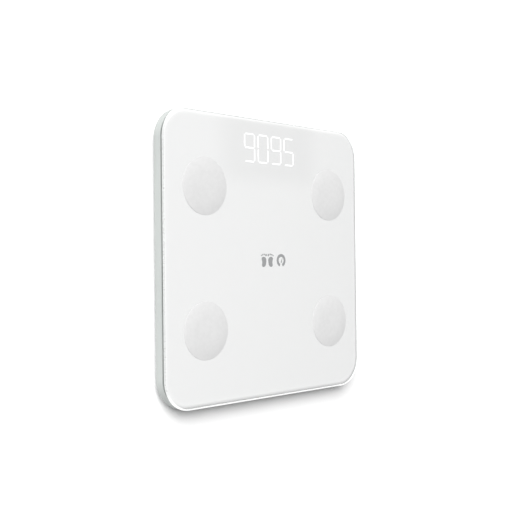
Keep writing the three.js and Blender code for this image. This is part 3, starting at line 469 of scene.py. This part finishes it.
# %% Dress the nodes, and weld those that curve
SHARP = math.radians(32)
TOUCHING, VANISHING = 1e-6, 1e-7
CURVED = ("cell_cable", "electrode_lead", "battery", "contact", "carrier_screw", "board_screw",
          "switch_plunger")
slot_of = {s["node"]: s["material_slot"] for s in frame["record"]["subparts"]}


def finish_piece(piece, material, body, *nodes):
    if material is not None:
        piece.data.materials.clear()
        piece.data.materials.append(material)
    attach(piece, body)
    if nodes:
        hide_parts(*nodes)
    return piece


def shade_by_angle(mesh, sharp=SHARP):
    work = bmesh.new()
    work.from_mesh(mesh)
    for face in work.faces:
        face.smooth = True
    for edge in work.edges:
        edge.smooth = len(edge.link_faces) == 2 and edge.calc_face_angle(math.pi) < sharp
    work.to_mesh(mesh)
    work.free()


def welded(node, material):
    source = frame["nodes"][node]
    mesh = source.data.copy()
    work = bmesh.new()
    work.from_mesh(mesh)
    bmesh.ops.remove_doubles(work, verts=work.verts, dist=TOUCHING)
    bmesh.ops.dissolve_degenerate(work, edges=work.edges, dist=VANISHING)
    work.to_mesh(mesh)
    work.free()
    mesh.name = node + "_shape"
    if mesh.attributes.get("custom_normal"):
        mesh.attributes.remove(mesh.attributes["custom_normal"])
    shade_by_angle(mesh)
    piece = bpy.data.objects.new(node + "_finished", mesh)
    bpy.context.scene.collection.objects.link(piece)
    weighted = piece.modifiers.new("weighted", "WEIGHTED_NORMAL")
    weighted.keep_sharp = True
    return finish_piece(piece, material, source["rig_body"], node)


plain = {"tape": tape, "white_plastic": frame_plastic, "steel": part_steel, "board": lacquer,
         "black_plastic": dark_plastic, "diffuser": film, "cable": white_sheath,
         "red_cable": red_sheath, "rubber": rubber, "tray": tray_plastic, "print": ink,
         "glass": glass, "electrode": disc_steel}
for node, obj in frame["nodes"].items():
    finish = battery_sleeve(node) if slot_of[node] == "battery" else plain[slot_of[node]]
    if node == "battery_lead_negative":
        finish = black_sheath
    obj.data.materials.clear()
    obj.data.materials.append(finish)
curved = [node for node in frame["nodes"] if node.startswith(CURVED)]
for node in curved:
    welded(node, frame["nodes"][node].data.materials[0])
for name in CORNERS:
    welded("foot_cup_" + name, foot_plastic)
welded("unit_button", foot_plastic)
welded("base_tray", tray_plastic)
print("welded copies:", len(curved) + len(CORNERS) + 2)

# %% [markdown]
# The platform's shape follows a rule: a rounded square whose edge profile never changes. Geometry
# Nodes can say that directly. An outline inset by the rim is swept with five straight strokes, the
# top, a ground bevel, the side, a bevel and the bottom, and two filled outlines close the middle.
# How far a face leans tells which finish it takes: side, bevel, or the level top and bottom.

# %% A rounded plate by rule
def geometry_tree(name, inputs):
    tree = bpy.data.node_groups.new(name, "GeometryNodeTree")
    tree.interface.new_socket("Geometry", in_out="OUTPUT", socket_type="NodeSocketGeometry")
    for label, kind in inputs.items():
        tree.interface.new_socket(label, in_out="INPUT", socket_type="NodeSocket" + kind)
    return Graph(tree)


def grown(name, tree, sizes, start=None):
    """The mesh that a tree makes with these sizes, as a plain object with no modifier."""
    seed = bpy.data.objects.new(name + "_seed", start or bpy.data.meshes.new(name + "_seed"))
    bpy.context.scene.collection.objects.link(seed)
    modifier = seed.modifiers.new("rule", "NODES")
    modifier.node_group = tree
    for socket in tree.interface.items_tree:
        if socket.in_out == "INPUT" and socket.name in sizes:
            modifier[socket.identifier] = sizes[socket.name]
    graph = bpy.context.evaluated_depsgraph_get()
    mesh = bpy.data.meshes.new_from_object(seed.evaluated_get(graph), depsgraph=graph)
    bpy.data.objects.remove(seed)
    piece = bpy.data.objects.new(name, mesh)
    bpy.context.scene.collection.objects.link(piece)
    return piece


PLATE_INPUTS = {"Side": "Float", "Corner": "Float", "Rim": "Float", "Bevel": "Float",
                "Bottom": "Float", "Top": "Float", "Steps": "Int", "Finish": "Material",
                "Bevel Finish": "Material", "Side Finish": "Material"}
STEEP, LEVEL = 0.1, 0.99


def plate_tree():
    g = geometry_tree("rounded_plate", PLATE_INPUTS)
    given = g.node("NodeGroupInput")
    side, corner, rim = given.also("Side"), given.also("Corner"), given.also("Rim")
    bevel, bottom, top = given.also("Bevel"), given.also("Bottom"), given.also("Top")
    square = g.node("GeometryNodeCurvePrimitiveQuadrilateral", {"mode": "RECTANGLE"},
                    {"Width": side - rim * 2, "Height": side - rim * 2})
    outline = g.node("GeometryNodeFilletCurve", {"mode": "POLY"},
                     {"Curve": square, "Count": given.also("Steps"), "Radius": corner - rim})
    upright = g.node("GeometryNodeSetCurveNormal", {"mode": "Z_UP"}, {"Curve": outline})

    def corner_point(out, height):
        return g.node("ShaderNodeCombineXYZ", sockets={"X": out, "Y": -height})

    points = [corner_point(0.0, top), corner_point(rim - bevel, top),
              corner_point(rim, top - bevel), corner_point(rim, bottom + bevel),
              corner_point(rim - bevel, bottom), corner_point(0.0, bottom)]
    strokes = [g.node("GeometryNodeCurvePrimitiveLine", sockets={"Start": a, "End": b})
               for a, b in zip(points, points[1:])]
    profile = g.node("GeometryNodeJoinGeometry", sockets={0: strokes})
    rim_band = g.node("GeometryNodeCurveToMesh", sockets={0: upright, "Profile Curve": profile})
    face = g.node("GeometryNodeFillCurve", {"mode": "NGONS"}, {0: outline})
    flipped = g.node("GeometryNodeFlipFaces", sockets={0: face})
    to_top = g.node("ShaderNodeCombineXYZ", sockets={"Z": top})
    to_bottom = g.node("ShaderNodeCombineXYZ", sockets={"Z": bottom})
    lifted = g.node("GeometryNodeTransform", sockets={0: face, "Translation": to_top})
    under = g.node("GeometryNodeTransform", sockets={0: flipped, "Translation": to_bottom})
    whole = g.node("GeometryNodeJoinGeometry", sockets={0: [rim_band, lifted, under]})
    joined = g.node("GeometryNodeMergeByDistance", sockets={0: whole, "Distance": TOUCHING})
    real = g.node("GeometryNodeRealizeInstances", sockets={0: joined})
    normal = g.node("GeometryNodeInputNormal")
    facing = g.node("ShaderNodeSeparateXYZ", sockets={0: normal}).also("Z")
    slope = g.math("ABSOLUTE", facing)
    made = g.node("GeometryNodeSetMaterial", sockets={
        0: real, "Material": given.also("Bevel Finish")})
    made = g.node("GeometryNodeSetMaterial", sockets={
        0: made, "Selection": g.math("LESS_THAN", slope, STEEP),
        "Material": given.also("Side Finish")})
    made = g.node("GeometryNodeSetMaterial", sockets={
        0: made, "Selection": g.math("GREATER_THAN", slope, LEVEL),
        "Material": given.also("Finish")})
    g.tree.links.new(made.socket, g.tree.nodes.new("NodeGroupOutput").inputs[0])
    return g.tree


rounded_plate = plate_tree()
SIDE = glass_high.x - glass_low.x
CORNER_STEPS, RIM, BEVEL, ARRIS = 24, 8 * MM, 1.5 * MM, 0.12 * MM
GLASS_SHARP = math.radians(30)
platform = grown("glass_plate", rounded_plate, {
    "Side": SIDE, "Corner": CORNER_RADIUS, "Rim": RIM, "Bevel": BEVEL, "Bottom": glass_low.z,
    "Top": glass_high.z, "Steps": CORNER_STEPS, "Finish": glass, "Bevel Finish": ground_bevel,
    "Side Finish": cut_side})
arris = platform.modifiers.new("arris", "BEVEL")
arris.width, arris.segments = ARRIS, 2
arris.limit_method, arris.angle_limit = "ANGLE", GLASS_SHARP
shade_by_angle(platform.data, GLASS_SHARP)
finish_piece(platform, None, "scale_body", "glass_platform")
print("platform:", len(platform.data.vertices), "vertices,", round(SIDE / MM), "mm square")

# %% [markdown]
# The same rule makes the sheet of ink: 0.08 mm thick and set in from the glass's edge, so that it
# ends just inside the ground bevel. It lies just under the glass, not in it.

# %% The sheet of ink
print_low, print_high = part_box("white_print")
INK_THICKNESS, INK_RIM, INK_BEVEL = 0.08 * MM, 3 * MM, 0.01 * MM
ink_sheet = grown("ink_sheet", rounded_plate, {
    "Side": print_high.x - print_low.x, "Corner": CORNER_RADIUS - (glass_high.x - print_high.x),
    "Rim": INK_RIM, "Bevel": INK_BEVEL, "Bottom": print_low.z,
    "Top": print_low.z + INK_THICKNESS, "Steps": CORNER_STEPS, "Finish": ink,
    "Bevel Finish": ink, "Side Finish": ink})
finish_piece(ink_sheet, ink, "scale_body", "white_print")
print("ink is", round((print_high.x - print_low.x) / MM, 1), "mm square")

# %% [markdown]
# A disc electrode is a shallow lathe-turned shape: flat, with an edge that rolls over so that it
# feels smooth under a sole. The outline from the middle to the rim is spun in 128 steps. The
# discs cast no shadow, which would fall through the glass onto the ink as a dark crescent.

# %% Electrode discs
def turned(name, outline, centre, steps=128):
    """Spins (radius, height) pairs about a vertical line through centre into one closed shape."""
    work = bmesh.new()
    rings = []
    for radius, height in outline:
        if radius == 0:
            rings.append([work.verts.new((centre.x, centre.y, height))])
        else:
            turns = [2 * math.pi * k / steps for k in range(steps)]
            rings.append([work.verts.new((centre.x + radius * math.cos(t),
                                          centre.y + radius * math.sin(t), height))
                          for t in turns])
    for inner, outer in zip(rings, rings[1:]):
        for k in range(steps):
            n = (k + 1) % steps
            if len(inner) == 1:
                work.faces.new((inner[0], outer[k], outer[n]))
            elif len(outer) == 1:
                work.faces.new((inner[k], outer[0], inner[n]))
            else:
                work.faces.new((inner[k], outer[k], outer[n], inner[n]))
    bmesh.ops.recalc_face_normals(work, faces=work.faces)
    mesh = bpy.data.meshes.new(name)
    work.to_mesh(mesh)
    work.free()
    piece = bpy.data.objects.new(name, mesh)
    bpy.context.scene.collection.objects.link(piece)
    return piece


disc_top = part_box("electrode_toe_right")[1].z
disc_foot = glass_high.z + 0.02 * MM
ROLL, ROLL_STEPS = 0.15 * MM, 5
DISC_SHARP = math.radians(40)
lip = [(DISC_RADIUS - ROLL + ROLL * math.sin(a), disc_top - ROLL + ROLL * math.cos(a))
       for a in [math.pi / 2 * k / ROLL_STEPS for k in range(ROLL_STEPS + 1)]]
disc_outline = [(0, disc_top), (DISC_RADIUS * 0.5, disc_top), *lip,
                (DISC_RADIUS, disc_foot), (DISC_RADIUS * 0.5, disc_foot), (0, disc_foot)]
for name, centre in disc_places.items():
    disc = turned("disc_" + name, disc_outline, centre)
    shade_by_angle(disc.data, DISC_SHARP)
    finish_piece(disc, disc_steel, "scale_body", "electrode_" + name)
    disc.visible_shadow = False
print("discs are", round(DISC_RADIUS * 2 / MM, 1), "mm across and stand",
      round((disc_top - glass_high.z) / MM, 2), "mm up")

# %% [markdown]
# The display is four seven-segment digits that shine through the ink. Each lit bar is the same
# chamfered strip, so Geometry Nodes place it: a vertex for each bar, with an attribute that says
# whether it stands or lies.

# %% Lit digits
GLOW_STRENGTH = 0.45


def lit_glow():
    f = Finish("digit_glow")
    spread = f.grain(3 * MM, 2.0)
    glow = f.blend(spread, (1, 1, 1, 1), (0.93, 0.96, 0.98, 1))
    return f.done(Base_Color=srgb(250, 250, 250), Roughness=0.5, Specular_IOR_Level=0.0,
                  Emission_Color=glow, Emission_Strength=GLOW_STRENGTH)


DIGIT_HEIGHT, DIGIT_WIDTH, DIGIT_PITCH = 28.5 * MM, 15 * MM, 19 * MM
STROKE, STROKE_GAP, BAR_THICKNESS = 1.25 * MM, 0.5 * MM, 0.05 * MM
CHAMFER_SHARE, CHAMFER_STEPS = 0.45, 3
SEGMENTS = {"0": "abcdef", "9": "abcdfg", "5": "acdfg"}
half_w, half_h = (DIGIT_WIDTH - STROKE) / 2, (DIGIT_HEIGHT - STROKE) / 2
PLACES = {"a": (0, half_h, 0), "g": (0, 0, 0), "d": (0, -half_h, 0),
          "f": (-half_w, half_h / 2, 1), "b": (half_w, half_h / 2, 1),
          "e": (-half_w, -half_h / 2, 1), "c": (half_w, -half_h / 2, 1)}


def bars_tree():
    g = geometry_tree("segment_bars", {
        "Geometry": "Geometry", "Bar Length": "Float", "Bar Height": "Float", "Stroke": "Float",
        "Thickness": "Float", "Finish": "Material"})
    given = g.node("NodeGroupInput")
    stroke, thickness = given.also("Stroke"), given.also("Thickness")
    stands = g.node("GeometryNodeInputNamedAttribute", {"data_type": "FLOAT"}, {"Name": "stands"})

    def strip(length):
        strip_outline = g.node("GeometryNodeCurvePrimitiveQuadrilateral", {"mode": "RECTANGLE"},
                               {"Width": length, "Height": stroke})
        cut = g.node("GeometryNodeFilletCurve", {"mode": "POLY"}, {
            "Curve": strip_outline, "Count": CHAMFER_STEPS, "Radius": stroke * CHAMFER_SHARE})
        flat = g.node("GeometryNodeFillCurve", {"mode": "NGONS"}, {0: cut})
        top = g.node("GeometryNodeExtrudeMesh", sockets={
            0: flat, "Offset Scale": thickness, "Individual": False})
        base = g.node("GeometryNodeFlipFaces", sockets={0: flat})
        both = g.node("GeometryNodeJoinGeometry", sockets={0: [top, base]})
        return g.node("GeometryNodeMergeByDistance", sockets={0: both, "Distance": TOUCHING})

    lying = g.node("GeometryNodeInstanceOnPoints", sockets={
        "Points": given, "Selection": g.math("LESS_THAN", stands, 0.5),
        "Instance": strip(given.also("Bar Length"))})
    turn = g.node("ShaderNodeCombineXYZ", sockets={"Z": math.pi / 2})
    standing = g.node("GeometryNodeInstanceOnPoints", sockets={
        "Points": given, "Selection": g.math("GREATER_THAN", stands, 0.5), "Rotation": turn,
        "Instance": strip(given.also("Bar Height"))})
    all_bars = g.node("GeometryNodeJoinGeometry", sockets={0: [lying, standing]})
    real = g.node("GeometryNodeRealizeInstances", sockets={0: all_bars})
    made = g.node("GeometryNodeSetMaterial", sockets={0: real, "Material": given.also("Finish")})
    g.tree.links.new(made.socket, g.tree.nodes.new("NodeGroupOutput").inputs[0])
    return g.tree


DIGITS = "9095"
DIGIT_BOTTOM = print_low.z + INK_THICKNESS + 0.01 * MM
bar_points, bar_stands = [], []
for place, digit in enumerate(DIGITS):
    middle = DISPLAY_X + (place - (len(DIGITS) - 1) / 2) * DIGIT_PITCH
    for segment in SEGMENTS[digit]:
        x, y, stands = PLACES[segment]
        bar_points.append((middle + x, DISPLAY_Y + y, DIGIT_BOTTOM))
        bar_stands.append(float(stands))
points_mesh = bpy.data.meshes.new("bar_points")
points_mesh.from_pydata(bar_points, [], [])
points_mesh.attributes.new("stands", "FLOAT", "POINT").data.foreach_set("value", bar_stands)
glow = lit_glow()
digits = grown("lit_digits", bars_tree(), {
    "Bar Length": DIGIT_WIDTH - 2 * (STROKE + STROKE_GAP),
    "Bar Height": half_h - STROKE - STROKE_GAP, "Stroke": STROKE,
    "Thickness": BAR_THICKNESS, "Finish": glow}, points_mesh)
finish_piece(digits, glow, "scale_body")
print("lit bars:", len(bar_points), "on", len(DIGITS), "digits")

# %% [markdown]
# A small grey mark is printed in the middle of the glass, where the maker's sign would be. This one
# is a plain pictogram: a pair of soles beside a round dial with a needle. Each part is a flat
# outline with a hair of thickness, and it lies on the ink. The mark's own numbers are in
# millimetres, and a sole and its toes are drawn narrow, then stretched.

# %% Printed pictogram
def mark_ink():
    f = Finish("grey_mark_ink")
    dots = f.grain(0.4 * MM, 2.0)
    tone = f.blend(dots, srgb(158, 159, 160), srgb(168, 169, 170), 0.35, 0.65)
    return f.done(Base_Color=tone, Roughness=f.vary(dots, 0.5, 0.65), Specular_IOR_Level=0.0)


SOLE_POINTS, SOLE_HALF_LENGTH, SOLE_SET_BACK = 36, 4.6, 1.2
SOLE_HALF_WIDTH, SOLE_WAIST, SOLE_FLARE = 2.15, 0.42, 0.30
SOLE_BEND, BEND_TURN = 0.35, 0.8


def sole_outline(side):
    """Points round one sole, toes towards +Y, mirrored by side."""
    outline = []
    for k in range(SOLE_POINTS):
        t = 2 * math.pi * k / SOLE_POINTS
        along = math.sin(t)
        half_width = (SOLE_HALF_WIDTH - SOLE_WAIST * math.cos(math.pi * along)
                      + SOLE_FLARE * along)
        bend = SOLE_BEND * math.cos(math.pi * along * BEND_TURN)
        outline.append((side * (half_width * math.cos(t) - bend),
                        SOLE_HALF_LENGTH * along - SOLE_SET_BACK))
    return outline


def arc(middle, radius, start, end, count):
    turns = [start + (end - start) * k / count for k in range(count + 1)]
    return [(middle + radius * math.cos(t), radius * math.sin(t)) for t in turns]


DIAL_STARTS, DIAL_ENDS, DIAL_STEPS = math.radians(-70), math.radians(250), 40
NEEDLE = [(-0.9, -1.9), (0.9, -2.5), (2.1, 2.9)]


def dial_outlines(middle, outer, inner):
    """An open ring and the needle in it, which points up and to the right."""
    ring = (arc(middle, outer, DIAL_STARTS, DIAL_ENDS, DIAL_STEPS)
            + arc(middle, inner, DIAL_ENDS, DIAL_STARTS, DIAL_STEPS))
    return [ring, [(middle + x, y) for x, y in NEEDLE]]


MARK_X, MARK_Y, MARK_THICKNESS = 2.6, -2.4, 0.04 * MM
SOLES_MIDDLE, SOLE_APART, SOLE_WIDE, SOLE_TALL = -6.7, 5.0, 1.65, 1.12
# Each toe: how far across, how far along, its radius.
TOES = [(-2.0, 4.9, 1.2), (-0.4, 5.5, 0.95), (1.0, 5.2, 0.85), (2.1, 4.5, 0.75)]
TOE_POINTS = 16
shapes = dial_outlines(middle=13.6, outer=6.6, inner=3.7)
for side in (-1, 1):
    middle = SOLES_MIDDLE + side * SOLE_APART
    shapes.append([(middle + x * SOLE_WIDE, y * SOLE_TALL) for x, y in sole_outline(side)])
    for x, y, radius in TOES:
        last = 2 * math.pi * (TOE_POINTS - 1) / TOE_POINTS
        toe = arc(middle + side * x * SOLE_WIDE, radius, 0, last, TOE_POINTS - 1)
        shapes.append([(px, py + y * SOLE_TALL) for px, py in toe])
work = bmesh.new()
for outline in shapes:
    low_ring = [work.verts.new(((MARK_X + x) * MM, (MARK_Y + y) * MM, DIGIT_BOTTOM))
                for x, y in outline]
    face = work.faces.new(low_ring)
    raised = bmesh.ops.extrude_face_region(work, geom=[face])["geom"]
    raised = [v for v in raised if isinstance(v, bmesh.types.BMVert)]
    bmesh.ops.translate(work, verts=raised, vec=(0, 0, MARK_THICKNESS))
bmesh.ops.recalc_face_normals(work, faces=work.faces)
mark_mesh = bpy.data.meshes.new("printed_mark")
work.to_mesh(mark_mesh)
work.free()
mark = bpy.data.objects.new("printed_mark", mark_mesh)
bpy.context.scene.collection.objects.link(mark)
finish_piece(mark, mark_ink(), "scale_body")
print("mark has", len(shapes), "shapes")

# %% [markdown]
# Each foot stands on a rubber pad. Its sole has rings of grooves, and the ribs between them grip
# wet tiles. The grooves are turned with the pad in one outline.

# %% Ribbed rubber pads
PAD_EDGE, PAD_HEEL, PAD_SHARP, PAD_STEPS = 0.3 * MM, 0.4 * MM, math.radians(25), 96
GROOVE_WIDE, GROOVE_DEEP, GROOVE_FLANK = 1.1 * MM, 0.45 * MM, 0.25 * MM
GROOVE_PITCH, FIRST_GROOVE, LAST_GROOVE = 2.6 * MM, 1.6 * MM, 3 * MM
for name in CORNERS:
    low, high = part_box("foot_pad_" + name)
    centre = (low + high) / 2
    reach = (high.x - low.x) / 2
    outline = [(0, high.z), (reach * 0.5, high.z), (reach - PAD_EDGE, high.z),
               (reach, high.z - PAD_EDGE), (reach, low.z + PAD_HEEL),
               (reach - PAD_HEEL / 4, low.z + PAD_EDGE * 0.4), (reach - PAD_HEEL, low.z)]
    groove = reach - FIRST_GROOVE
    while groove > LAST_GROOVE:
        outline += [(groove, low.z), (groove - GROOVE_FLANK, low.z + GROOVE_DEEP),
                    (groove - GROOVE_WIDE + GROOVE_FLANK, low.z + GROOVE_DEEP),
                    (groove - GROOVE_WIDE, low.z)]
        groove -= GROOVE_PITCH
    outline += [(0, low.z)]
    pad = turned("grip_pad_" + name, outline, centre, PAD_STEPS)
    shade_by_angle(pad.data, PAD_SHARP)
    finish_piece(pad, rubber, "foot_" + name, "foot_pad_" + name)
print("pads are", round(reach * 2 / MM), "mm across")

# %% [markdown]
# A small product like this is lit in a white sweep: one large soft lamp, far off on the display's
# left side, throws a short shadow towards the heels, and a pale world fills the rest. The lamp is
# hidden from rays that a surface mirrors or bends, as a polarising filter does, so that the glass
# never glares. The floor is seen from above only, so that a view from below isn't blocked. It
# still shuts out the light there, which leaves the underside dark.

# %% Floor, world and lamp
def floor_white():
    f = Finish("sweep_white")
    paper = f.grain(200 * MM, 2.0)
    seen = f.node("ShaderNodeBsdfPrincipled", sockets={
        "Base Color": f.blend(paper, (0.9, 0.9, 0.9, 1), (0.89, 0.89, 0.89, 1)),
        "Roughness": 0.9, "Specular IOR Level": 0.0})
    behind = f.node("ShaderNodeNewGeometry", out="Backfacing")
    clear = f.node("ShaderNodeBsdfTransparent")
    f.node_out(f.node("ShaderNodeMixShader", sockets={0: behind, 1: seen, 2: clear}))
    return f.material


FLOOR = 1.6
floor_corners = [(x * FLOOR, y * FLOOR, 0) for x, y in ((-1, -1), (1, -1), (1, 1), (-1, 1))]
floor_mesh = bpy.data.meshes.new("floor")
floor_mesh.from_pydata(floor_corners, [], [(0, 1, 2, 3)])
floor_mesh.materials.append(floor_white())
floor = bpy.data.objects.new("floor", floor_mesh)
bpy.context.scene.collection.objects.link(floor)

WORLD_LIGHT = 0.28
world = bpy.data.worlds.new("studio")
world.use_nodes = True
w = Graph(world.node_tree)
w.tree.nodes.clear()
fill = w.node("ShaderNodeBackground", sockets={"Color": (1, 1, 1, 1), "Strength": WORLD_LIGHT})
seen = w.node("ShaderNodeBackground", sockets={"Color": (1, 1, 1, 1), "Strength": 1.0})
direct = w.node("ShaderNodeLightPath", out="Is Camera Ray")
both = w.node("ShaderNodeMixShader", sockets={0: direct, 1: fill, 2: seen})
w.tree.links.new(both.socket, w.tree.nodes.new("ShaderNodeOutputWorld").inputs["Surface"])
bpy.context.scene.world = world

KEY_PLACE, KEY_SIZE, KEY_WATTS = Vector((-7.4, 6.1, 8.0)), 9.5, 2810
key_data = bpy.data.lights.new("key_lamp", "AREA")
key_data.shape, key_data.size, key_data.energy = "DISK", KEY_SIZE, KEY_WATTS
key_lamp = bpy.data.objects.new("key_lamp", key_data)
key_lamp.location = KEY_PLACE
key_lamp.rotation_euler = KEY_PLACE.to_track_quat("Z", "Y").to_euler()
key_lamp.visible_glossy = key_lamp.visible_transmission = False
bpy.context.scene.collection.objects.link(key_lamp)
print("key lamp at", [round(c, 1) for c in KEY_PLACE], "with", KEY_WATTS, "W")
